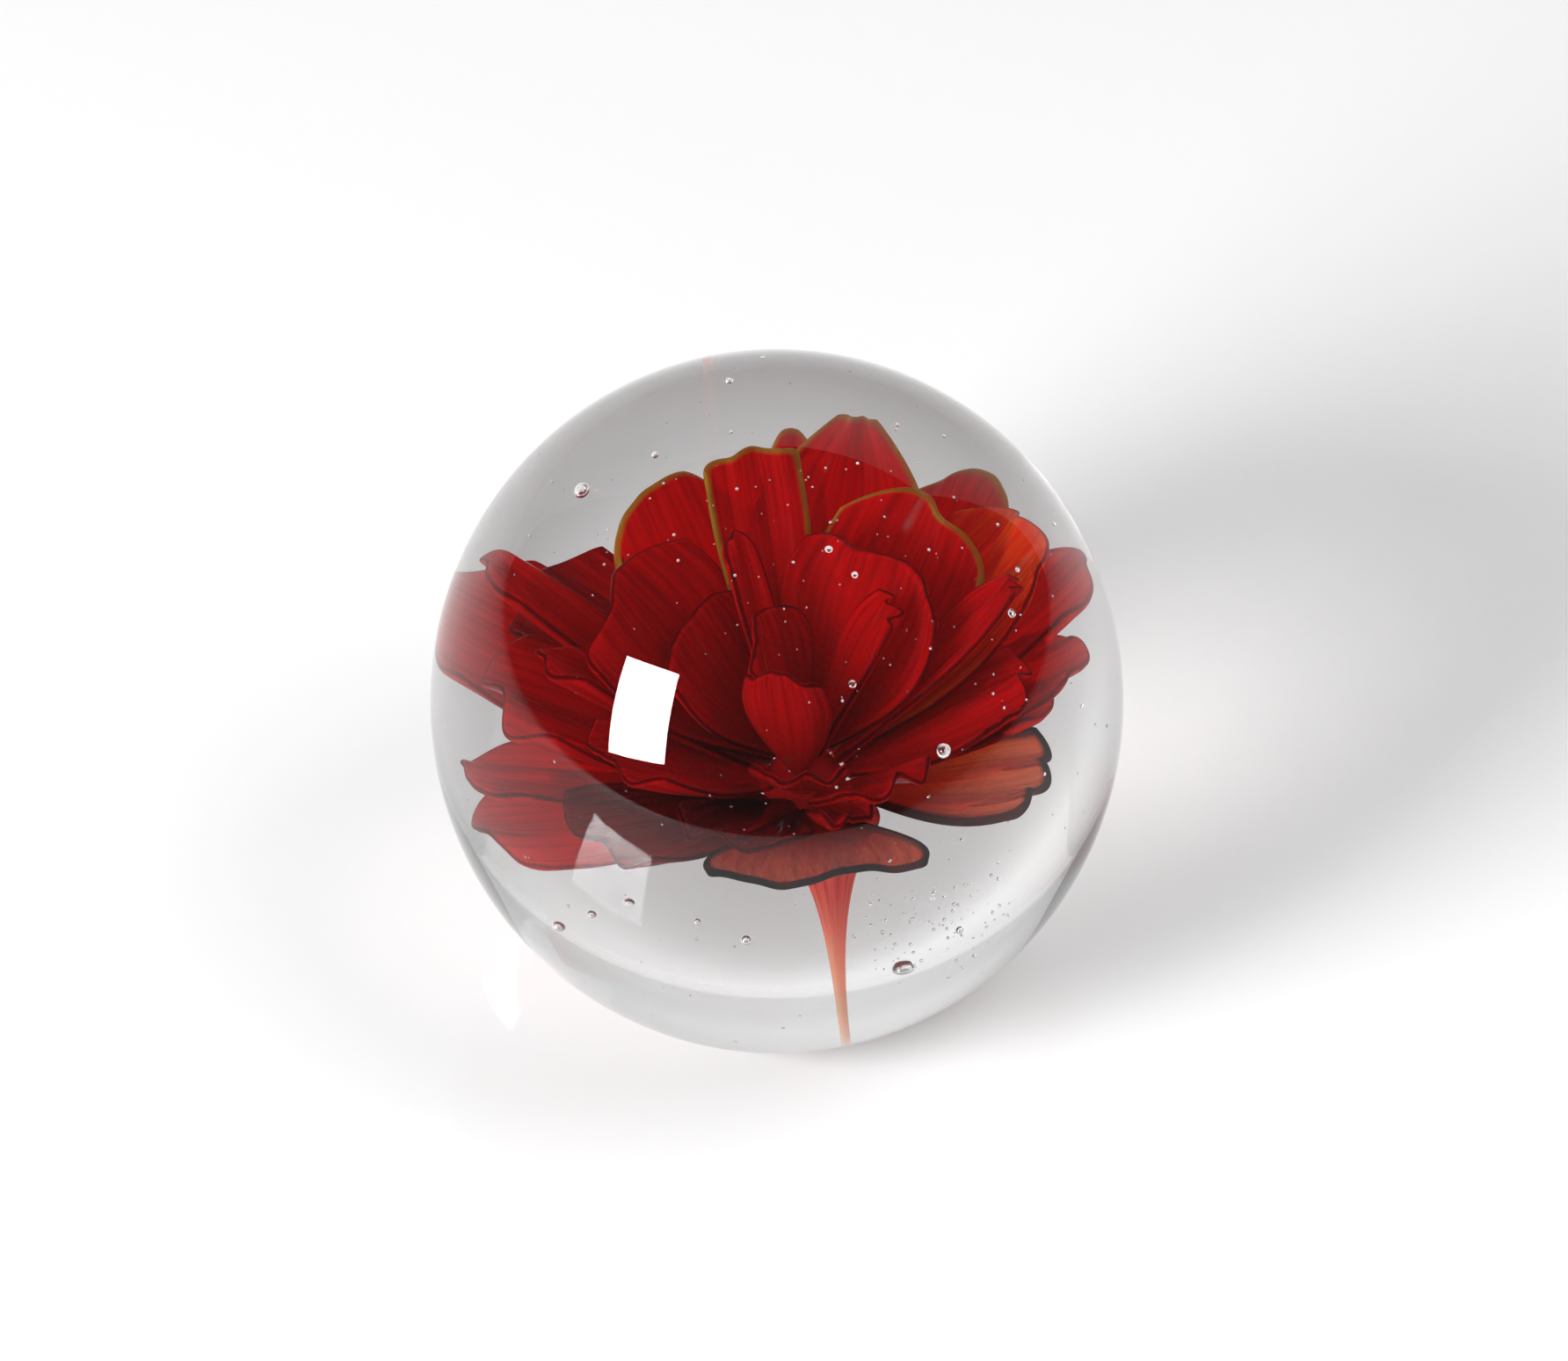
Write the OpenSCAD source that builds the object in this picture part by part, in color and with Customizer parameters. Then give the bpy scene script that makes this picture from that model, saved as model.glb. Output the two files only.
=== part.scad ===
// Clear glass paperweight: a solid ball, ground flat underneath, holding a red
// lampwork flower whose separate petals grow from one bud on a tapering stem.
// Every petal is a thin cupped sheet of coloured glass, wholly inside the ball.

/* [Ball] */
// Widest diameter of the ball, seen from above
ball_d = 80; // [60:1:120]
// Height of the straight band round the ball's waist, as a share of its width
band_share = 0.0275; // [0.01:0.0025:0.05]
// Diameter of the flat ground on the underside, as a share of the ball's width
foot_share = 0.48; // [0.3:0.02:0.56]

/* [Flower] */
// Depth of the bud below the middle of the ball, as a share of its width
bud_drop_share = 0.1; // [0.08:0.005:0.12]
// Offset of the bud to the right of the middle, as a share of the ball's width
bud_offset_share = 0.025; // [0:0.005:0.03]
// Radius of the bud, on an 80 mm ball
bud_r = 3; // [2.6:0.1:3.4]
// Thickness of a petal, on an 80 mm ball
petal_t = 0.6; // [0.4:0.1:0.8]
// Width of a petal where it leaves the bud, on an 80 mm ball
claw_w = 1.0; // [0.6:0.1:1.4]

/* [Stem] */
// Diameter of the stem's trumpet-shaped top, on an 80 mm ball
stem_top_d = 7.5; // [4:0.5:8]
// Diameter of the stem at its lower tip, on an 80 mm ball
stem_tip_d = 0.5; // [0.5:0.1:1.5]
// Tilt of the stem away from the vertical, to the right
stem_tilt = 1.5; // [0:0.5:7]

/* [Hidden] */
$fn = 96;
scale_k = ball_d / 80;               // the flower is laid out on an 80 mm ball
ball_r = ball_d / 2;
foot_r = ball_d * foot_share / 2;
band_h = ball_d * band_share;
band_z = sqrt(ball_r * ball_r - foot_r * foot_r);
middle_z = band_z + band_h / 2;
bud_at = [ball_d * bud_offset_share, 0, middle_z - ball_d * bud_drop_share];
bud_gap = 0.25;                      // clear glass between the bud and a petal
stem_gap = 0.2;                      // clear glass between the bud and the stem
stem_len = 22;
stem_shift = 1.4;                    // how far right of the bud's middle the stem is
stem_flare = 3.6;                    // the power by which the stem widens upwards
stem_steps = 8;                      // facets along the stem
along_steps = 6;                     // facets along a petal
across_steps = 10;                   // facets across a petal
clear_glass = [0.86, 0.92, 0.93, 0.35];
red_glass = [0.72, 0.05, 0.07];
dark_red_glass = [0.4, 0.03, 0.05];
pale_red_glass = [0.85, 0.35, 0.25];

// One row for each petal, laid out on an 80 mm ball:
//   name
//   azimuth   degrees round the bud, 0 to the right and 90 to the back
//   lean      [at the bud, at the tip], degrees above the horizontal
//   size      [length, greatest width, taper]: the taper is the share of the
//             width that is lost at the tip
//   section   [cup, twist, skew] in degrees: half-angle of the cupped section,
//             turn of the tip about the petal's length, sideways lean
//   tip       [rounding, slant, curl]: how far the corners fall short of the
//             tip, how much longer one side is, backward roll at the tip in mm
//   ripple    [height, notch, waves, phase]: out-of-plane wave in mm, notching
//             of the tip as a share of the length, waves across, phase
PETALS = [
    ["petal_low_front", 275, [4, 20], [15, 20, 0], [15, 0, 0], [-0.05, -0.06, 0], [0.4, 0.015, 1.5, 20]],
    ["petal_low_front_left", 215, [5, 16], [19.5, 13, 0.1], [10, 0, 0], [0.15, 0, 0], [0.6, 0.02, 2, 60]],
    ["petal_low_under", 186, [-12, -1], [22.5, 11.5, 0.1], [10, 0, 0], [0.25, 0, 0], [0.5, 0.01, 1.5, 30]],
    ["petal_low_left", 182, [-1, 7], [24, 7.5, 0.1], [20, 0, 0], [0.25, 0, 0], [0.5, 0.01, 2, 110]],
    ["petal_low_right", 4, [-9, 11], [14.5, 11, 0.1], [10, 0, 0], [0.1, 0, 0], [0.5, 0.02, 2.5, 0]],
    ["petal_left_far", 145, [-2, 7], [24.5, 14, 0.1], [15, 0, 0], [0.15, 0, 0], [0.6, 0.01, 2, 90]],
    ["petal_left_big", 179, [17, 24], [24, 14, 0.1], [20, 0, 0], [0.2, 0, 0], [1, 0.01, 2, 45]],
    ["petal_left_fold", 158, [26, 29], [28, 6, 0.2], [50, 0, 0], [0.2, 0, 0], [0.4, 0, 2, 0]],
    ["petal_left_back", 142, [10, 17], [20.5, 12, 0.1], [20, 0, 0], [0.1, 0, 0], [0.6, 0.015, 2, 70]],
    ["petal_back_left", 124, [34, 40], [21, 14, 0.1], [20, 6, 0], [0.25, 0, 0], [0.9, 0.01, 1.5, 100]],
    ["petal_back_box", 104, [45, 46], [21.5, 7.5, 0], [30, 0, 0], [0.03, 0, 0], [0.3, 0.006, 2, 0]],
    ["petal_back_tip", 93, [16, 27], [22, 5, 0.2], [30, 0, 0], [0.2, 0, 0], [0.2, 0, 2, 0]],
    ["petal_back_point", 82, [27, 34], [22.5, 16, 0.9], [15, 0, 0], [0, 0, 0], [0.3, 0, 2, 0]],
    ["petal_back_right", 52, [42, 49], [20, 15, 0.1], [20, 0, 0], [0.2, 0, 0], [0.8, 0.015, 1.5, 150]],
    ["petal_back_right_under", 66, [10, 21], [21.5, 10, 0.1], [20, 0, 0], [0.2, 0, 0], [0.5, 0.01, 2, 60]],
    ["petal_right_back", 35, [33, 36], [23, 13, 0.1], [20, 0, 0], [0.2, 0, 0], [0.8, 0.015, 2, 30]],
    ["petal_right_up", 34, [19, 22], [23.5, 8, 0.1], [20, 0, 0], [0.2, 0, 0], [0.5, 0.01, 2, 120]],
    ["petal_right_mid", 25, [10, 16], [19, 8, 0.1], [20, 0, 0], [0.2, 0, 0], [0.4, 0.01, 2, 0]],
    ["petal_right_under", 26, [0, 14], [15.5, 6, 0.1], [20, 0, 0], [0.2, 0, 0], [0.4, 0.01, 2, 90]],
    ["petal_right_low", 0, [25, 32], [17, 11.5, 0.1], [20, 0, 0], [0.15, 0, 0], [0.7, 0.015, 2, 40]],
    ["petal_front_left", 212, [26, 34], [20, 11, 0.1], [20, 0, 0], [0.15, 0, 0], [0.6, 0.015, 2, 80]],
    ["petal_front_mid", 247, [14, 26], [14, 12, 0.1], [20, 0, 0], [0.15, 0, 0], [0.6, 0.02, 2, 130]],
    ["petal_front_right", 303, [28, 40], [14, 11, 0.1], [20, 0, 0], [0.15, 0, 0], [0.6, 0.015, 2, 20]],
    ["petal_mid_left", 162, [43, 48], [19.5, 18, 0.1], [20, -8, 0], [0.15, 0.05, 0], [1, 0.015, 1.5, 60]],
    ["petal_mid_fold", 125, [64, 64], [18.5, 3.5, 0.1], [50, 0, 0], [0.15, 0, 0], [0.2, 0, 2, 0]],
    ["petal_mid_back", 43, [60, 64], [17, 18, 0.1], [15, 0, 0], [0.12, -0.08, 0], [0.7, 0.015, 1.5, 30]],
    ["petal_mid_right", 6, [46, 49], [25, 7.5, 0.8], [35, 10, 0], [0.02, 0, 0], [0.5, 0, 2.5, 0]],
    ["petal_mid_front_left", 184, [32, 37], [24, 5.5, 0.2], [45, 0, 0], [0.2, 0, 0], [0.5, 0.01, 2, 70]],
    ["petal_in_left", 161, [54, 57], [14, 15, 0.1], [30, -10, 0], [0.2, 0.05, 0], [0.7, 0.01, 1.5, 100]],
    ["petal_in_curl", 165, [75, 76], [13, 11.5, 0.1], [50, 0, 0], [0.2, 0, 0], [0.5, 0.01, 1.5, 60]],
    ["petal_in_front", 258, [58, 76], [18.5, 8.5, 0.2], [35, 0, 0], [0.2, 0, 0], [0.4, 0.01, 2, 90]],
    ["petal_in_right", 8, [70, 62], [16.5, 8, 0.5], [40, 10, 0], [0.02, 0, 0], [0.5, 0, 2, 0]],
    ["petal_front_small", 268, [36, 50], [8.5, 9, 0.1], [35, 0, 0], [0.2, 0, 0], [0.4, 0.02, 2, 40]],
    ["petal_front_curl", 292, [16, 34], [9.5, 6, 0.2], [40, 0, 0], [0.2, 0, 0], [0.4, 0.02, 2, 100]],
];

// ---- Petal surface ----

// Two waves of different lengths added, so that no two ruffles are alike
function wave_angle(ripple, u) = 180 * ripple[2] * u + ripple[3];
function second_angle(ripple, u) = 250 * ripple[2] * u - ripple[3];

// How far along the petal a grid point lies, from 0 at the bud to about 1
function reach(tip, ripple, u, v) =
    v * (1 - tip[0] * pow(abs(u), 2.5) + tip[1] * u
         + ripple[1] * (cos(wave_angle(ripple, u)) + cos(second_angle(ripple, u)) / 2)
           * v * v * (1 - u * u));

// Half the width of the petal, from the narrow claw to the broad blade
function half_width(size, v) =
    (claw_w + (size[1] - claw_w) * sin(min(90, 104 * v)) * (1 - size[2] * pow(v, 4))) / 2;

// A grid point of the petal's face: u from -1 to 1 across it, v from 0 to 1
// along it, and side -1 for the outer face and 1 for the inner one
function petal_point(petal, u, v, side) =
    let (lean = petal[2], section = petal[4], tip = petal[5], ripple = petal[6],
         s = reach(tip, ripple, u, v),
         bend = (lean[1] - lean[0]) * s / 2 + 0.0001,
         chord = petal[3][0] * s * sin(bend) / (bend * PI / 180),
         cup = section[0] + 0.0001,
         half = half_width(petal[3], v),
         across = half * sin(cup * u) / (cup * PI / 180) - side * petal_t / 2 * sin(cup * u),
         above = half * (1 - cos(cup * u)) / (cup * PI / 180)
                 + side * petal_t / 2 * cos(cup * u)
                 + ripple[0] * v * v * (sin(wave_angle(ripple, u)) + sin(second_angle(ripple, u)) / 2)
                 - tip[2] * pow(s, 4),
         turn = section[1] * s,
         sideways = across * cos(turn) - above * sin(turn) + chord * tan(section[2]),
         lifted = across * sin(turn) + above * cos(turn),
         start = bud_r + bud_gap,
         radial = start * cos(lean[0]) + chord * cos(lean[0] + bend)
                  - lifted * sin(lean[0] + 2 * bend),
         height = start * sin(lean[0]) + chord * sin(lean[0] + bend)
                  + lifted * cos(lean[0] + 2 * bend))
    [radial * cos(petal[1]) - sideways * sin(petal[1]),
     radial * sin(petal[1]) + sideways * cos(petal[1]),
     height];

// Two triangles for the quad whose corners are given in anticlockwise order,
// seen from outside the petal
function quad(a, b, c, d) = [[c, b, a], [d, c, a]];

module petal_sheet(petal) {
    row = across_steps + 1;
    sheet = row * (along_steps + 1);
    points = [for (side = [-1, 1], i = [0:along_steps], j = [0:across_steps])
                  petal_point(petal, 2 * j / across_steps - 1, i / along_steps, side)];
    last = along_steps * row;
    faces = [
        for (i = [0:along_steps - 1], j = [0:across_steps - 1])
            let (a = i * row + j)
            each concat(quad(a, a + 1, a + row + 1, a + row),
                        quad(sheet + a, sheet + a + row, sheet + a + row + 1, sheet + a + 1)),
        for (i = [0:along_steps - 1])
            let (a = i * row, b = a + across_steps)
            each concat(quad(a, a + row, sheet + a + row, sheet + a),
                        quad(b + row, b, sheet + b, sheet + b + row)),
        for (j = [0:across_steps - 1])
            each concat(quad(j + 1, j, sheet + j, sheet + j + 1),
                        quad(last + j, last + j + 1, sheet + last + j + 1, sheet + last + j)),
    ];
    polyhedron(points, faces);
}

module in_flower() {
    translate(bud_at) scale(scale_k) children();
}

module petal(row) {
    color(red_glass) in_flower() petal_sheet(row);
}

// ---- Bud and stem ----

module bud_shape() {
    in_flower() sphere(r = bud_r);
}

module bud() {
    color(dark_red_glass) bud_shape();
}

function stem_radius(share) =
    (stem_tip_d + (stem_top_d - stem_tip_d) * pow(share, stem_flare)) / 2;

module stem_shape() {
    side = [for (i = [0:stem_steps])
                [stem_radius(i / stem_steps), stem_len * i / stem_steps]];
    in_flower()
        rotate([0, -stem_tilt, 0])
            translate([stem_shift, 0, -bud_r - stem_gap - stem_len])
                rotate_extrude() polygon(concat([[0, 0]], side, [[0, stem_len]]));
}

module stem() {
    color(pale_red_glass) stem_shape();
}

// ---- Ball ----

module slab(low, high) {
    translate([-ball_d, -ball_d, low]) cube([2 * ball_d, 2 * ball_d, high - low]);
}

// Two part spheres with a short straight band between them, flat underneath
module ball_shape() {
    intersection() {
        translate([0, 0, band_z]) sphere(r = ball_r);
        slab(0, band_z);
    }
    translate([0, 0, band_z]) cylinder(h = band_h, r = ball_r);
    intersection() {
        translate([0, 0, band_z + band_h]) sphere(r = ball_r);
        slab(band_z + band_h, 2 * ball_d);
    }
}

// The ball is cast round the flower, so it has the flower's exact hollow in it
module glass_ball() {
    color(clear_glass)
        difference() {
            ball_shape();
            bud_shape();
            stem_shape();
            for (row = PETALS) in_flower() petal_sheet(row);
        }
}

glass_ball();
bud();
stem();
for (row = PETALS) petal(row);
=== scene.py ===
"""Glass ball paperweight with an encased red lampwork flower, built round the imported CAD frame."""
import math
import random

import bpy
from mathutils import Matrix, Vector
from mathutils.kdtree import KDTree


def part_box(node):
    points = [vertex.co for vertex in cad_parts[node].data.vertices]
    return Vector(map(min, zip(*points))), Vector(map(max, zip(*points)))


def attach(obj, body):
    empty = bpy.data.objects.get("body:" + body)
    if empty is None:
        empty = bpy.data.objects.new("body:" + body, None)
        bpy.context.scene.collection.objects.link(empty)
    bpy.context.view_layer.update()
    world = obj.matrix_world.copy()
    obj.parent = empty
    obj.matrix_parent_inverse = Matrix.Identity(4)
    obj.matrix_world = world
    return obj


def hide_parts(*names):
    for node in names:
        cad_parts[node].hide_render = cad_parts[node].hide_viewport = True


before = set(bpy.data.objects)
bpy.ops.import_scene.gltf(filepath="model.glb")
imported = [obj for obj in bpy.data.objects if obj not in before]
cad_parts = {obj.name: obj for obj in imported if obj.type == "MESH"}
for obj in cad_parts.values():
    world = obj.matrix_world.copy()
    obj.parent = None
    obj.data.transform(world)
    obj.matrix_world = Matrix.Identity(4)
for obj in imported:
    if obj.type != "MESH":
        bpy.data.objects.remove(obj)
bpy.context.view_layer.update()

MM = 0.001

# ---- Sizes taken from the frame ----

ball_low, ball_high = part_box("glass_ball")
BALL_R = (ball_high[0] - ball_low[0]) / 2
BALL_TOP = ball_high[2]
FOOT_R = 0.48 * BALL_R              # radius of the flat ground underneath, as in the CAD
STRETCH = BALL_TOP / (BALL_R + math.sqrt(BALL_R ** 2 - FOOT_R ** 2))
MIDDLE = Vector((0, 0, BALL_TOP - STRETCH * BALL_R))

bud_low, bud_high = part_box("bud")
BUD_AT = (Vector(bud_low) + Vector(bud_high)) / 2

# The flower's own sizes, in millimetres and degrees, the same as in the CAD
BUD_R = 3.0
BUD_GAP = 0.25                      # clear glass between the bud and a petal
PETAL_T = 0.6                       # thickness of a petal
CLAW_W = 1.0                        # width of a petal where it leaves the bud
STEM_TOP_D = 7.5
STEM_TIP_D = 0.5
STEM_LEN = 22.0
STEM_FLARE = 3.6                    # the power by which the stem widens upwards
STEM_GAP = 0.2                      # clear glass between the bud and the stem
STEM_TILT = 1.5
STEM_SHIFT = 1.4                    # how far right of the bud's middle the stem is

# One row for each petal, the same as in the CAD: name, azimuth, (lean at the bud, at the tip),
# (length, width, taper), (cup, twist, skew), (rounding, slant, curl), (ripple, notch, waves, phase)
PETALS = [
    ("petal_low_front", 275, (4, 20), (15, 20, 0), (15, 0, 0), (-0.05, -0.06, 0), (0.4, 0.015, 1.5, 20)),
    ("petal_low_front_left", 215, (5, 16), (19.5, 13, 0.1), (10, 0, 0), (0.15, 0, 0), (0.6, 0.02, 2, 60)),
    ("petal_low_under", 186, (-12, -1), (22.5, 11.5, 0.1), (10, 0, 0), (0.25, 0, 0), (0.5, 0.01, 1.5, 30)),
    ("petal_low_left", 182, (-1, 7), (24, 7.5, 0.1), (20, 0, 0), (0.25, 0, 0), (0.5, 0.01, 2, 110)),
    ("petal_low_right", 4, (-9, 11), (14.5, 11, 0.1), (10, 0, 0), (0.1, 0, 0), (0.5, 0.02, 2.5, 0)),
    ("petal_left_far", 145, (-2, 7), (24.5, 14, 0.1), (15, 0, 0), (0.15, 0, 0), (0.6, 0.01, 2, 90)),
    ("petal_left_big", 179, (17, 24), (24, 14, 0.1), (20, 0, 0), (0.2, 0, 0), (1, 0.01, 2, 45)),
    ("petal_left_fold", 158, (26, 29), (28, 6, 0.2), (50, 0, 0), (0.2, 0, 0), (0.4, 0, 2, 0)),
    ("petal_left_back", 142, (10, 17), (20.5, 12, 0.1), (20, 0, 0), (0.1, 0, 0), (0.6, 0.015, 2, 70)),
    ("petal_back_left", 124, (34, 40), (21, 14, 0.1), (20, 6, 0), (0.25, 0, 0), (0.9, 0.01, 1.5, 100)),
    ("petal_back_box", 104, (45, 46), (21.5, 7.5, 0), (30, 0, 0), (0.03, 0, 0), (0.3, 0.006, 2, 0)),
    ("petal_back_tip", 93, (16, 27), (22, 5, 0.2), (30, 0, 0), (0.2, 0, 0), (0.2, 0, 2, 0)),
    ("petal_back_point", 82, (27, 34), (22.5, 16, 0.9), (15, 0, 0), (0, 0, 0), (0.3, 0, 2, 0)),
    ("petal_back_right", 52, (42, 49), (20, 15, 0.1), (20, 0, 0), (0.2, 0, 0), (0.8, 0.015, 1.5, 150)),
    ("petal_back_right_under", 66, (10, 21), (21.5, 10, 0.1), (20, 0, 0), (0.2, 0, 0), (0.5, 0.01, 2, 60)),
    ("petal_right_back", 35, (33, 36), (23, 13, 0.1), (20, 0, 0), (0.2, 0, 0), (0.8, 0.015, 2, 30)),
    ("petal_right_up", 34, (19, 22), (23.5, 8, 0.1), (20, 0, 0), (0.2, 0, 0), (0.5, 0.01, 2, 120)),
    ("petal_right_mid", 25, (10, 16), (19, 8, 0.1), (20, 0, 0), (0.2, 0, 0), (0.4, 0.01, 2, 0)),
    ("petal_right_under", 26, (0, 14), (15.5, 6, 0.1), (20, 0, 0), (0.2, 0, 0), (0.4, 0.01, 2, 90)),
    ("petal_right_low", 0, (25, 32), (17, 11.5, 0.1), (20, 0, 0), (0.15, 0, 0), (0.7, 0.015, 2, 40)),
    ("petal_front_left", 212, (26, 34), (20, 11, 0.1), (20, 0, 0), (0.15, 0, 0), (0.6, 0.015, 2, 80)),
    ("petal_front_mid", 247, (14, 26), (14, 12, 0.1), (20, 0, 0), (0.15, 0, 0), (0.6, 0.02, 2, 130)),
    ("petal_front_right", 303, (28, 40), (14, 11, 0.1), (20, 0, 0), (0.15, 0, 0), (0.6, 0.015, 2, 20)),
    ("petal_mid_left", 162, (43, 48), (19.5, 18, 0.1), (20, -8, 0), (0.15, 0.05, 0), (1, 0.015, 1.5, 60)),
    ("petal_mid_fold", 125, (64, 64), (18.5, 3.5, 0.1), (50, 0, 0), (0.15, 0, 0), (0.2, 0, 2, 0)),
    ("petal_mid_back", 43, (60, 64), (17, 18, 0.1), (15, 0, 0), (0.12, -0.08, 0), (0.7, 0.015, 1.5, 30)),
    ("petal_mid_right", 6, (46, 49), (25, 7.5, 0.8), (35, 10, 0), (0.02, 0, 0), (0.5, 0, 2.5, 0)),
    ("petal_mid_front_left", 184, (32, 37), (24, 5.5, 0.2), (45, 0, 0), (0.2, 0, 0), (0.5, 0.01, 2, 70)),
    ("petal_in_left", 161, (54, 57), (14, 15, 0.1), (30, -10, 0), (0.2, 0.05, 0), (0.7, 0.01, 1.5, 100)),
    ("petal_in_curl", 165, (75, 76), (13, 11.5, 0.1), (50, 0, 0), (0.2, 0, 0), (0.5, 0.01, 1.5, 60)),
    ("petal_in_front", 258, (58, 76), (18.5, 8.5, 0.2), (35, 0, 0), (0.2, 0, 0), (0.4, 0.01, 2, 90)),
    ("petal_in_right", 8, (70, 62), (16.5, 8, 0.5), (40, 10, 0), (0.02, 0, 0), (0.5, 0, 2, 0)),
    ("petal_front_small", 268, (36, 50), (8.5, 9, 0.1), (35, 0, 0), (0.2, 0, 0), (0.4, 0.02, 2, 40)),
    ("petal_front_curl", 292, (16, 34), (9.5, 6, 0.2), (40, 0, 0), (0.2, 0, 0), (0.4, 0.02, 2, 100)),
]


# ---- Materials ----

BALL_IOR = 1.5
PETAL_IOR = 1.05                    # a petal lies in glass, so its surface hardly bends light
MILK_DEPTH = 1.5 * MM               # how far light spreads in the milky part of a petal
STREAKS = (14.0, 1.4, 1.0)          # how fine the streaks are across a petal and along it
STREAK_DETAIL = 4.0
STREAK_RANGE = (0.35, 0.65)         # part of the noise over which one colour turns into the other
HEART_FADE = (0.25, 0.8)            # shares of the length over which the heart's colour fades out


def glass(name, ior, absorb=None, density=0.0, clear=1.0):
    """Glass: a clear refracting surface and, for a coloured one, absorption in its depth."""
    material = bpy.data.materials.new(name)
    material.use_nodes = True
    tree = material.node_tree
    surface = tree.nodes["Principled BSDF"]
    surface.inputs["Base Color"].default_value = (1, 1, 1, 1)
    surface.inputs["Roughness"].default_value = 0.0
    surface.inputs["IOR"].default_value = ior
    surface.inputs["Transmission Weight"].default_value = clear
    if absorb is not None:
        volume = tree.nodes.new("ShaderNodeVolumeAbsorption")
        volume.inputs["Color"].default_value = (*absorb, 1)
        volume.inputs["Density"].default_value = density
        tree.links.new(volume.outputs[0], tree.nodes["Material Output"].inputs["Volume"])
    return material


def mix_colours(tree, factor, first, second):
    """Mixes two colours by a factor; first is a plain colour and second a socket."""
    mix = tree.nodes.new("ShaderNodeMix")
    mix.data_type = "RGBA"
    mix.inputs["A"].default_value = (*first, 1)
    tree.links.new(factor, mix.inputs["Factor"])
    tree.links.new(second, mix.inputs["B"])
    return mix.outputs["Result"]


def fade(tree, value, start, end):
    """Rises smoothly from 0 to 1 while the value goes from start to end."""
    ramp = tree.nodes.new("ShaderNodeMapRange")
    ramp.interpolation_type = "SMOOTHSTEP"
    ramp.inputs["From Min"].default_value = start
    ramp.inputs["From Max"].default_value = end
    tree.links.new(value, ramp.inputs["Value"])
    return ramp.outputs[0]


def uv_values(tree, layer):
    """The vector of a UV layer, and that vector split into its parts."""
    coords = tree.nodes.new("ShaderNodeUVMap")
    coords.uv_map = layer
    split = tree.nodes.new("ShaderNodeSeparateXYZ")
    tree.links.new(coords.outputs[0], split.inputs[0])
    return coords.outputs[0], split.outputs


def add_streaks(material, low, high, heart, rim, rim_colour):
    """Fine streaks between two colours that fan out from the heart's colour, and a dark rim."""
    tree = material.node_tree
    place, parts = uv_values(tree, "petal")
    stretch = tree.nodes.new("ShaderNodeMapping")
    stretch.inputs["Scale"].default_value = STREAKS
    noise = tree.nodes.new("ShaderNodeTexNoise")
    noise.inputs["Scale"].default_value = 1.0
    noise.inputs["Detail"].default_value = STREAK_DETAIL
    ramp = tree.nodes.new("ShaderNodeValToRGB")
    for element, position, colour in zip(ramp.color_ramp.elements, STREAK_RANGE, (low, high)):
        element.position = position
        element.color = (*colour, 1)
    tree.links.new(place, stretch.inputs[0])
    tree.links.new(stretch.outputs[0], noise.inputs["Vector"])
    tree.links.new(noise.outputs["Fac"], ramp.inputs[0])
    blade = mix_colours(tree, fade(tree, parts[1], *HEART_FADE), heart, ramp.outputs[0])
    from_rim = uv_values(tree, "rim")[1][0]
    colour = mix_colours(tree, fade(tree, from_rim, *rim), rim_colour, blade)
    tree.links.new(colour, tree.nodes["Principled BSDF"].inputs["Base Color"])


def petal_glass(name, absorb, density, clear, low, high, heart,
                rim=(0.0, 0.15), rim_colour=(0.15, 0.001, 0.003)):
    """Petal glass: part clear and tinted in its depth, part milky, streaked, with a dark rim.

    The rim gives the distances from the edge, in millimetres, between which its colour fades."""
    material = glass(name, PETAL_IOR, absorb, density, clear)
    surface = material.node_tree.nodes["Principled BSDF"]
    surface.inputs["Subsurface Weight"].default_value = 1.0
    surface.inputs["Subsurface Radius"].default_value = (1, 0.1, 0.1)
    surface.inputs["Subsurface Scale"].default_value = MILK_DEPTH
    add_streaks(material, low, high, heart, rim, rim_colour)
    return material


def glossy_white(name):
    """Polished white board; it mirrors the softbox faintly, and the ball shows that again."""
    material = bpy.data.materials.new(name)
    material.use_nodes = True
    surface = material.node_tree.nodes["Principled BSDF"]
    surface.inputs["Base Color"].default_value = (0.8, 0.8, 0.8, 1)
    surface.inputs["Roughness"].default_value = 0.05
    surface.inputs["Emission Color"].default_value = (1, 1, 1, 1)
    surface.inputs["Emission Strength"].default_value = 0.12
    return material


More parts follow.
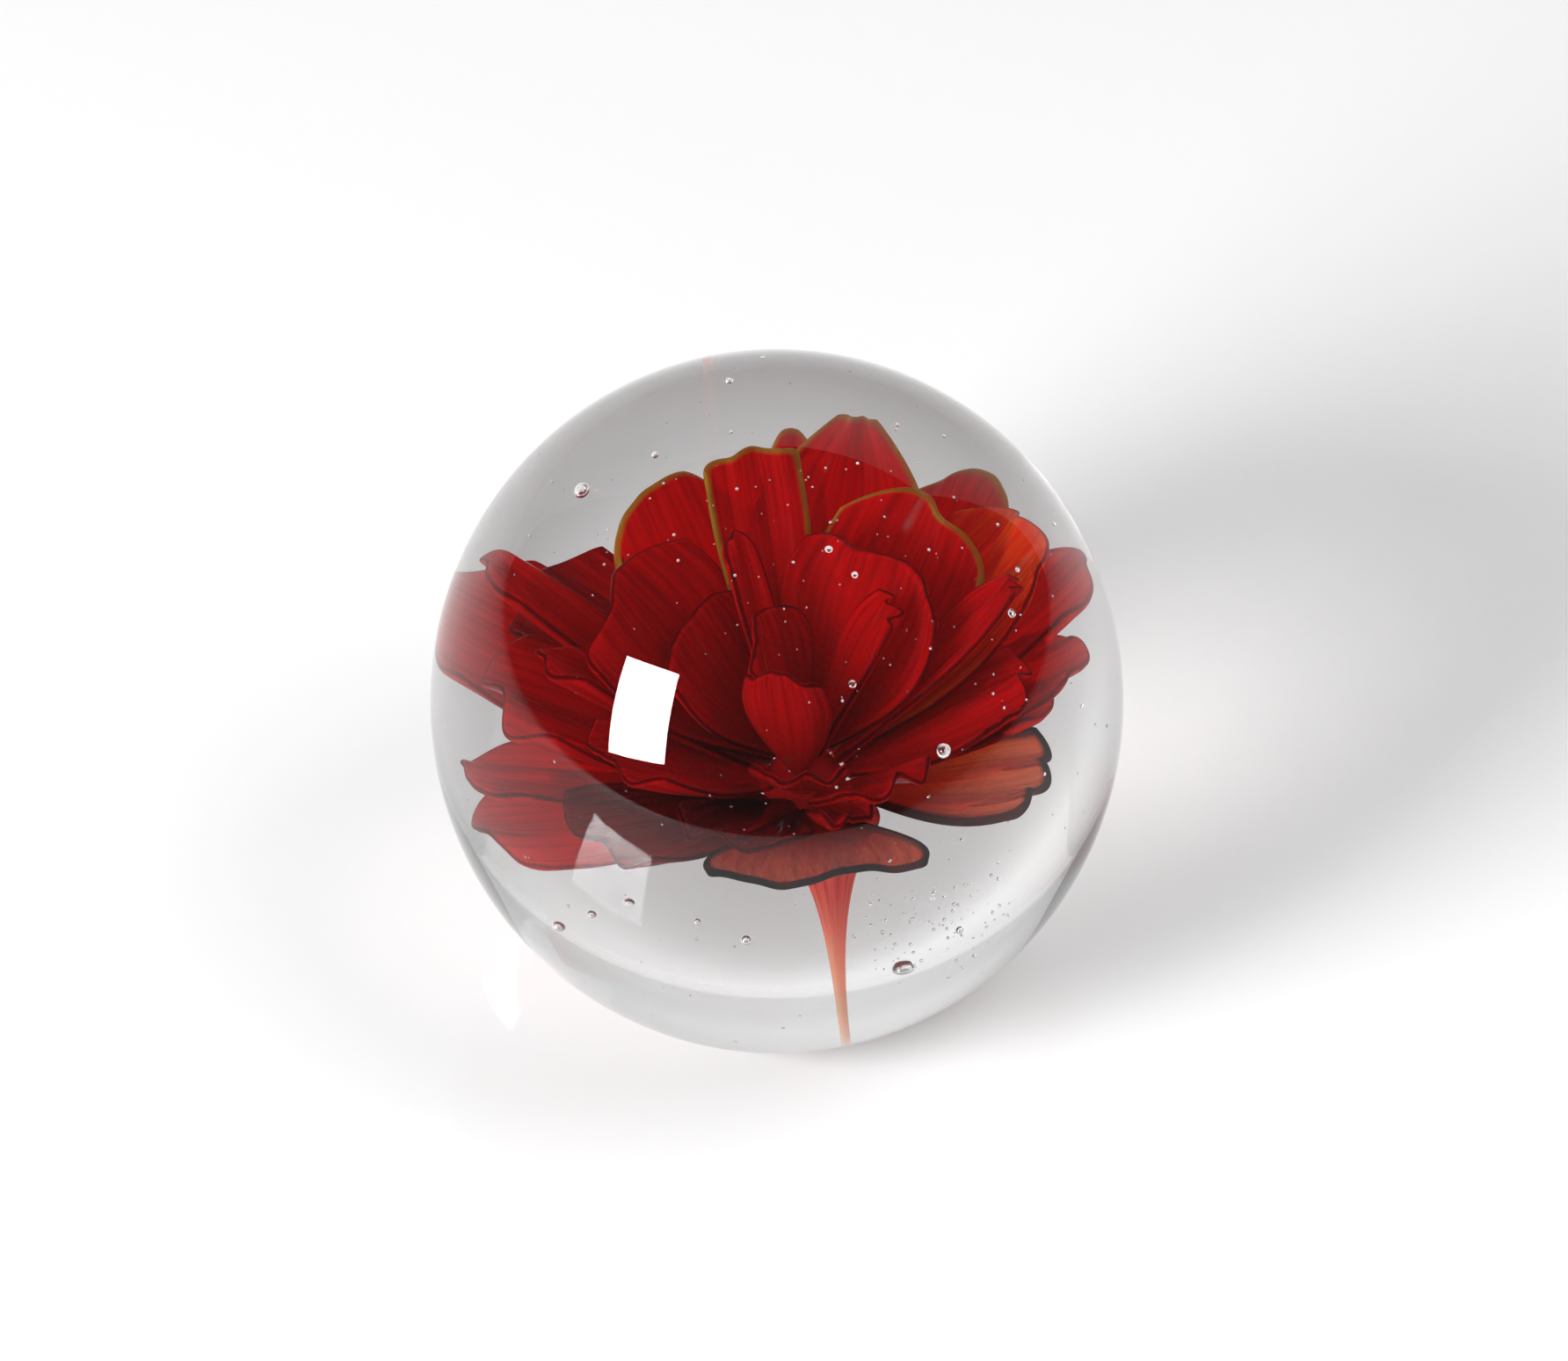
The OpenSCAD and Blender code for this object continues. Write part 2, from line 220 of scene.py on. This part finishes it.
def make_materials():
    """The glasses by shade; each petal glass has its tint, then two streak colours and the heart's."""
    red = (0.96, 0.25, 0.02)
    brown = (0.93, 0.5, 0.2)
    orange = (0.97, 0.45, 0.02)
    rose = (0.97, 0.5, 0.35)
    return {
        "clear": glass("clear_glass", BALL_IOR),
        "red": petal_glass("red_glass", red, 5000.0, 0.7,
                           (0.5, 0.004, 0.006), (0.85, 0.008, 0.01), (0.65, 0.004, 0.006)),
        "edged": petal_glass("edged_red_glass", red, 5000.0, 0.7,
                             (0.5, 0.004, 0.006), (0.8, 0.008, 0.01), (0.65, 0.004, 0.006),
                             (0.05, 0.5), (0.4, 0.3, 0.03)),
        # a darker copy of the red glass: painted shade for the low petals that lie in the flower's shade
        "shaded_red": petal_glass("shaded_red_glass", red, 8000.0, 0.8,
                            (0.25, 0.01, 0.015), (0.55, 0.02, 0.03), (0.15, 0.004, 0.006)),
        "orange": petal_glass("orange_glass", orange, 4000.0, 0.7,
                              (0.8, 0.03, 0.004), (0.95, 0.15, 0.006), (0.95, 0.18, 0.006)),
        "brown": petal_glass("brown_glass", brown, 3500.0, 0.85,
                             (0.55, 0.13, 0.07), (0.9, 0.38, 0.2), (0.4, 0.04, 0.02),
                             (0.3, 0.9), (0.006, 0.001, 0.001)),
        "bud": petal_glass("bud_glass", red, 1500.0, 0.2,
                           (0.5, 0.004, 0.006), (0.8, 0.01, 0.01), (0.4, 0.004, 0.006)),
        "stem": petal_glass("streaked_glass", rose, 1500.0, 0.6,
                            (0.4, 0.008, 0.01), (0.95, 0.12, 0.08), (1.0, 0.6, 0.38)),
    }


# ---- Mesh helpers ----

def spread(low, high, steps):
    """Evenly spaced values from low to high, both included."""
    return [low + (high - low) * i / steps for i in range(steps + 1)]


def in_flower(points):
    """Points given in millimetres from the bud's middle, in the frame's metres."""
    return [BUD_AT + Vector(p) * MM for p in points]


def new_object(name, verts, faces, material, uvs=None):
    """A smooth-shaded object; uvs gives each vertex's (u, v) by the name of the UV layer."""
    mesh = bpy.data.meshes.new(name)
    mesh.from_pydata([tuple(v) for v in verts], [], faces)
    mesh.polygons.foreach_set("use_smooth", [True] * len(mesh.polygons))
    for layer_name, values in (uvs or {}).items():
        layer = mesh.uv_layers.new(name=layer_name)
        for loop in mesh.loops:
            layer.data[loop.index].uv = values[loop.vertex_index]
    mesh.materials.append(material)
    mesh.update()
    piece = bpy.data.objects.new(name, mesh)
    bpy.context.scene.collection.objects.link(piece)
    return piece


def revolve(profile, turns):
    """Closed mesh from (radius, height) points that run from the axis below to the axis above."""
    verts = [Vector((0, 0, profile[0][1]))]
    for radius, height in profile[1:-1]:
        for k in range(turns):
            angle = 2 * math.pi * k / turns
            verts.append(Vector((radius * math.cos(angle), radius * math.sin(angle), height)))
    verts.append(Vector((0, 0, profile[-1][1])))
    rings = len(profile) - 2
    top = len(verts) - 1
    last = 1 + (rings - 1) * turns
    faces = []
    for k in range(turns):
        after = (k + 1) % turns
        faces.append((0, 1 + after, 1 + k))
        faces.append((top, last + k, last + after))
        for i in range(rings - 1):
            low = 1 + i * turns
            faces.append((low + k, low + after, low + turns + after, low + turns + k))
    return verts, faces


# ---- Ball ----

BALL_RINGS = 220
BALL_TURNS = 256
SOFT_EDGE = 0.5 * MM                # width of the softened edge round the ground flat


def ball_profile():
    """From the middle of the ground flat, round its softened edge and up over the ball."""
    start = math.acos(FOOT_R / BALL_R)
    profile = [(0, 0), (FOOT_R / 2, 0), (FOOT_R - SOFT_EDGE, 0)]
    profile.append((FOOT_R - 0.4 * SOFT_EDGE, 0.06 * SOFT_EDGE))
    for angle in spread(-start, math.pi / 2, BALL_RINGS)[1:]:
        profile.append((BALL_R * math.cos(angle), MIDDLE.z + STRETCH * BALL_R * math.sin(angle)))
    profile[-1] = (0, BALL_TOP)
    return profile


# Larger bubbles: (x, y, z) from the middle of the ball, (radius across, radius up), in millimetres
BUBBLES = [
    ((-16, 11, 14), (0.7, 0.7)),
    ((15.5, -15, 8), (0.75, 0.75)),
    ((10, -12, -17.5), (1.0, 0.65)),
    ((-2.5, -14.5, -13), (0.45, 0.45)),
    ((14.5, -10.5, -15), (0.35, 0.35)),
    ((-3.5, 21, 13.5), (0.3, 0.3)),
    ((-1, 24, 11.5), (0.2, 0.4)),
    ((-9.5, 14, 14), (0.3, 0.3)),
    ((6.5, -7, 9), (0.4, 0.4)),
    ((5, -5, 25), (0.4, 0.3)),
    ((7.5, -7, 23.5), (0.35, 0.35)),
    ((23, -0.5, 18), (0.3, 0.3)),
    ((22.5, -5, 16.5), (0.45, 0.45)),
    ((-16, -5.5, -17.5), (0.55, 0.4)),
    ((-14, -7.5, -15), (0.4, 0.3)),
    ((-12, -12, -11), (0.5, 0.3)),
    ((-6.5, -14, -11.5), (0.3, 0.3)),
]


def bubble(centre, radii, turns=24, rings=12):
    """A hollow in the glass: a closed skin that faces inwards."""
    profile = [(radii[0] * math.cos(a), radii[1] * math.sin(a))
               for a in spread(-math.pi / 2, math.pi / 2, rings)]
    verts, faces = revolve(profile, turns)
    return [MIDDLE + (Vector(centre) + v) * MM for v in verts], [face[::-1] for face in faces]


# Tiny bubbles: a swarm low at the right, and a few more through the whole ball, in millimetres
SPECK_SEED = 5
SPECK_CLEAR = 0.5                   # clear glass between a speck and the flower
SWARM_COUNT = 110
SWARM_START = (8, -19, -9)
SWARM_RUN = (12, 6, -3)
SWARM_RADII = (0.08, 0.12, 0.18)
SCATTER_COUNT = 260
SCATTER_REACH = 34
SCATTER_RADII = (0.06, 0.08, 0.1, 0.16)


def speck_spots(rng):
    """Where the tiny bubbles might lie, and their radii."""
    for _ in range(SWARM_COUNT):
        along = rng.uniform(0, 1)
        spot = Vector(SWARM_START) + Vector(SWARM_RUN) * along
        yield spot + Vector((0, rng.gauss(0, 1.5), rng.gauss(0, 3))), rng.choice(SWARM_RADII)
    for _ in range(SCATTER_COUNT):
        direction = Vector((rng.gauss(0, 1), rng.gauss(0, 1), rng.gauss(0.5, 1))).normalized()
        yield direction * SCATTER_REACH * rng.uniform(0.1, 1) ** 0.5, rng.choice(SCATTER_RADII)


def specks(flower_points):
    """The tiny bubbles that keep clear of the flower."""
    tree = KDTree(len(flower_points))
    for index, point in enumerate(flower_points):
        tree.insert(point, index)
    tree.balance()
    for spot, radius in speck_spots(random.Random(SPECK_SEED)):
        if tree.find(MIDDLE + spot * MM)[2] > (radius + SPECK_CLEAR) * MM:
            yield spot, (radius, radius)


def make_ball(materials, flower_points):
    """One mesh: the ball's skin and, inside it, the skins of its bubbles."""
    verts, faces = revolve(ball_profile(), BALL_TURNS)
    hollows = [bubble(*row) for row in BUBBLES]
    hollows += [bubble(*row, turns=8, rings=6) for row in specks(flower_points)]
    for more_verts, more_faces in hollows:
        faces += [tuple(i + len(verts) for i in face) for face in more_faces]
        verts += more_verts
    ball = new_object("ball", verts, faces, materials["clear"])
    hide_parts("glass_ball")
    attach(ball, "root")


# ---- Petals ----

TINY = 0.0001                       # degrees added so that neither bend nor cup is ever 0


def ruffle(ripple, u, shape):
    """Two waves of different lengths added, so that no two ruffles are alike."""
    first = math.radians(180 * ripple[2] * u + ripple[3])
    second = math.radians(250 * ripple[2] * u - ripple[3])
    return shape(first) + shape(second) / 2


def reach(tip, ripple, u, v):
    """How far along the petal a point lies, from 0 at the bud to about 1."""
    notch = ripple[1] * ruffle(ripple, u, math.cos) * v * v * (1 - u * u)
    return v * (1 - tip[0] * abs(u) ** 2.5 + tip[1] * u + notch)


def half_width(size, v):
    """Half the width at v along the petal, from the narrow claw to the broad blade."""
    blade = math.sin(math.radians(min(90, 104 * v)))
    return (CLAW_W + (size[1] - CLAW_W) * blade * (1 - size[2] * v ** 4)) / 2


def petal_point(row, u, v, offset):
    """A point of the petal, u from -1 to 1 across it, v from 0 to 1 along it, offset from its sheet."""
    _, azimuth, lean, size, section, tip, ripple = row
    s = reach(tip, ripple, u, v)
    base = math.radians(lean[0])
    bend = math.radians((lean[1] - lean[0]) * s / 2 + TINY)
    chord = size[0] * s * math.sin(bend) / bend
    cup = math.radians(section[0] + TINY)
    half = half_width(size, v)
    wave = ripple[0] * v * v * ruffle(ripple, u, math.sin)
    across = half * math.sin(cup * u) / cup - offset * math.sin(cup * u)
    above = half * (1 - math.cos(cup * u)) / cup + offset * math.cos(cup * u) + wave - tip[2] * s ** 4
    turn = math.radians(section[1] * s)
    skewed = chord * math.tan(math.radians(section[2]))
    sideways = across * math.cos(turn) - above * math.sin(turn) + skewed
    lifted = across * math.sin(turn) + above * math.cos(turn)
    start = BUD_R + BUD_GAP
    radial = start * math.cos(base) + chord * math.cos(base + bend) - lifted * math.sin(base + 2 * bend)
    height = start * math.sin(base) + chord * math.sin(base + bend) + lifted * math.cos(base + 2 * bend)
    a = math.radians(azimuth)
    return (radial * math.cos(a) - sideways * math.sin(a),
            radial * math.sin(a) + sideways * math.cos(a),
            height)


SHADES = {                          # the petals that are not plain red
    "petal_low_front": "brown",
    "petal_low_right": "brown",
    # these three low petals get the darker copy of the red glass as painted shade
    "petal_low_front_left": "shaded_red",
    "petal_front_mid": "shaded_red",
    "petal_left_back": "shaded_red",
    "petal_right_back": "orange",
    "petal_back_left": "edged",
    "petal_back_right": "edged",
    "petal_back_box": "edged",
    "petal_back_tip": "edged",
    "petal_back_point": "edged",
    "petal_back_right_under": "edged",
}
ALONG = 36                          # facets along a petal
ACROSS = 60                         # facets across a petal
RIM = 0.35                          # radius of a petal's rounded rim
RIM_MOST = 0.7                      # the most of a narrow petal's half-width that the rim takes
RIM_STEPS = (0.0, 0.08, 0.3, 0.6)   # shares of the rim's radius where its rings lie
BEAD_W = 0.6                        # half-width of the bead behind the rim
BEAD_SHARE = 0.25                   # how much thicker the petal is at the bead
PLEAT = 0.05                        # height of the pleats


def with_rims(low, high, rim, steps):
    """Values from low to high that crowd together within a rim's width of either end."""
    near = [low + rim * share for share in RIM_STEPS]
    far = [high - rim * share for share in reversed(RIM_STEPS)]
    return near + spread(low + rim, high - rim, steps) + far


def thickness(edge, rim):
    """Share of the full thickness at a distance from the rim: round at the rim, a bead behind it."""
    rounded = 1 - min(edge / rim, 1)
    bead = max(0, 1 - abs(edge - BEAD_W) / BEAD_W)
    return math.sqrt(max(0, 1 - rounded * rounded)) * (1 + BEAD_SHARE * bead)


def pleat(row, u, v):
    """Broad and fine lengthwise pleats in the sheet; they fade out towards the bud."""
    phase = math.radians(row[1])
    broad = math.sin(11 * u + 5 * phase) * math.cos(4 * v + phase)
    fine = math.sin(19 * u + phase)
    return PLEAT * v * (broad + fine)


def sheet_faces(corner, rows, columns):
    """Quads of a sheet's two faces; corner gives the vertex at (side, row, column)."""
    faces = []
    for side in (1, -1):
        for i in range(rows):
            for j in range(columns):
                corners = ((i, j), (i, j + 1), (i + 1, j + 1), (i + 1, j))
                quad = [corner[side, a, b] for a, b in corners]
                faces.append(quad if side < 0 else quad[::-1])
    return faces


def petal_mesh(row):
    """Closed mesh of a petal: its two faces share the vertices of the rim."""
    length = row[3][0]
    stations = with_rims(0, 1, RIM / length, ALONG)
    last_i = len(stations) - 1
    last_j = 2 * len(RIM_STEPS) + ACROSS
    verts = []
    corner = {}
    uvs = {"petal": [], "rim": []}
    for side in (1, -1):
        for i, v in enumerate(stations):
            half = half_width(row[3], v)
            rim = min(RIM, RIM_MOST * half)
            for j, u in enumerate(with_rims(-1, 1, rim / half, ACROSS)):
                if side < 0 and (i in (0, last_i) or j in (0, last_j)):
                    corner[side, i, j] = corner[1, i, j]
                    continue
                depth = PETAL_T / 2 * thickness(half * (1 - abs(u)), rim)
                depth *= thickness(length * (1 - v), RIM) * thickness(length * v, RIM)
                corner[side, i, j] = len(verts)
                verts.append(petal_point(row, u, v, side * depth + pleat(row, u, v)))
                uvs["petal"].append((u, v))
                uvs["rim"].append((min(half * (1 - abs(u)), length * (1 - v)), 0))
    return verts, sheet_faces(corner, last_i, last_j), uvs


def make_petal(row, materials):
    """One petal as its own piece, in the glass of its shade."""
    verts, faces, uvs = petal_mesh(row)
    shade = SHADES.get(row[0], "red")
    petal = new_object("leaf" + row[0][len("petal"):], in_flower(verts), faces, materials[shade], uvs)
    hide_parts(row[0])
    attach(petal, "root")
    return petal


# ---- Bud and stem ----

NO_RIM = (1, 0)                     # a place on the rim's UV layer that is clear of any rim


def make_bud(materials):
    """The knob at the heart of the flower."""
    angles = spread(-math.pi / 2, math.pi / 2, 32)
    verts, faces = revolve([(BUD_R * math.cos(a), BUD_R * math.sin(a)) for a in angles], 64)
    plain = [NO_RIM] * len(verts)
    bud = new_object("flower_bud", in_flower(verts), faces, materials["bud"],
                     {"petal": plain, "rim": plain})
    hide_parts("bud")
    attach(bud, "root")
    return bud


def make_stem(materials):
    """The trumpet that tapers down from under the bud, with streaks along it."""
    top = -BUD_R - STEM_GAP
    profile = [(0, top - STEM_LEN)]
    for share in spread(0, 1, 40):
        radius = (STEM_TIP_D + (STEM_TOP_D - STEM_TIP_D) * share ** STEM_FLARE) / 2
        profile.append((radius, top - STEM_LEN * (1 - share)))
    profile.append((0, top))
    verts, faces = revolve(profile, 48)
    tilt = math.radians(STEM_TILT)
    turn = Matrix.Rotation(-tilt, 3, "Y")
    leant = [turn @ (v + Vector((STEM_SHIFT, 0, 0))) for v in verts]
    streaks = [(math.atan2(y, x) / math.pi, 1 + (z - top) / STEM_LEN) for x, y, z in verts]
    stem = new_object("tapering_stem", in_flower(leant), faces, materials["stem"],
                      {"petal": streaks, "rim": [NO_RIM] * len(verts)})
    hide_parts("stem")
    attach(stem, "root")
    return stem


# ---- Set ----

VIEW_UP = math.radians(43)          # elevation of the camera above the floor
TO_CAMERA = Vector((0, -math.cos(VIEW_UP), math.sin(VIEW_UP)))
RIGHT = Vector((1, 0, 0))
VIEW_TOP = RIGHT.cross(-TO_CAMERA)
CAMERA_FAR = 1.0055                 # metres from the point the camera looks at
AIM_RIGHT = 0.83 * MM               # where that point lies from the middle of the ball
AIM_UP = 2.44 * MM


def make_backdrop():
    """Board that lies under the ball and sweeps up into a back wall."""
    front, back, rise, sweep, half = -0.8, 1.4, 1.6, 0.4, 1.6
    profile = [(front, 0), (back - sweep, 0)]
    for angle in spread(0, math.pi / 2, 16)[1:]:
        profile.append((back - sweep + sweep * math.sin(angle), sweep - sweep * math.cos(angle)))
    profile.append((back, rise))
    verts = [Vector((x, y, z)) for y, z in profile for x in (-half, half)]
    faces = [(2 * i, 2 * i + 1, 2 * i + 3, 2 * i + 2) for i in range(len(profile) - 1)]
    backdrop = new_object("backdrop", verts, faces, glossy_white("backdrop_white"))


def add_panel(name, direction, distance, size, strength, roll=0.0, mirrored=True):
    """A rectangular soft light that faces the ball; strength is its radiance."""
    light = bpy.data.lights.new(name, "AREA")
    light.shape = "RECTANGLE"
    light.size, light.size_y = size
    light.energy = strength * math.pi * size[0] * size[1]
    lamp = bpy.data.objects.new(name, light)
    lamp.location = MIDDLE + direction.normalized() * distance
    across = (VIEW_TOP.cross(direction).normalized() * math.cos(math.radians(roll))
              + VIEW_TOP * math.sin(math.radians(roll)))
    facing = Matrix((across, direction.cross(across).normalized(), direction.normalized())).transposed()
    lamp.rotation_mode = "QUATERNION"
    lamp.rotation_quaternion = facing.to_quaternion()
    lamp.visible_glossy = mirrored
    bpy.context.scene.collection.objects.link(lamp)


def around_view(left, up):
    """Direction turned from the camera's by so many degrees to its left and up."""
    turned = TO_CAMERA * math.cos(math.radians(left)) - RIGHT * math.sin(math.radians(left))
    return turned * math.cos(math.radians(up)) + VIEW_TOP * math.sin(math.radians(up))


def make_lights():
    """A dim even surround, one softbox at the left and a weaker fill at the right."""
    world = bpy.data.worlds.new("studio")
    world.use_nodes = True
    background = world.node_tree.nodes["Background"]
    background.inputs["Color"].default_value = (1, 1, 1, 1)
    background.inputs["Strength"].default_value = 0.1
    bpy.context.scene.world = world
    add_panel("softbox", around_view(45, -5.5), distance=1.2, size=(0.42, 0.6), strength=32.0, roll=-15)
    add_panel("fill", around_view(-45, 30), distance=1.3, size=(0.8, 0.8), strength=4.0, mirrored=False)


def make_camera():
    """A long lens that looks just above the middle of the ball."""
    camera = bpy.data.cameras.new("camera")
    camera.lens = 200
    camera.sensor_width = 36
    camera.dof.use_dof = False
    holder = bpy.data.objects.new("camera", camera)
    aim = MIDDLE + RIGHT * AIM_RIGHT + VIEW_TOP * AIM_UP
    holder.location = aim + TO_CAMERA * CAMERA_FAR
    holder.rotation_mode = "QUATERNION"
    holder.rotation_quaternion = TO_CAMERA.to_track_quat("Z", "Y")
    bpy.context.scene.collection.objects.link(holder)
    bpy.context.scene.camera = holder


def set_render():
    """Enough bounces for light to find its way through the stacked glass."""
    scene = bpy.context.scene
    scene.view_settings.view_transform = "Standard"
    scene.cycles.max_bounces = 32
    scene.cycles.transmission_bounces = 32
    scene.cycles.sample_clamp_indirect = 0


materials = make_materials()
flower = [make_bud(materials), make_stem(materials)]
flower += [make_petal(row, materials) for row in PETALS]
make_ball(materials, [v.co for piece in flower for v in piece.data.vertices])
make_backdrop()
make_lights()
make_camera()
set_render()
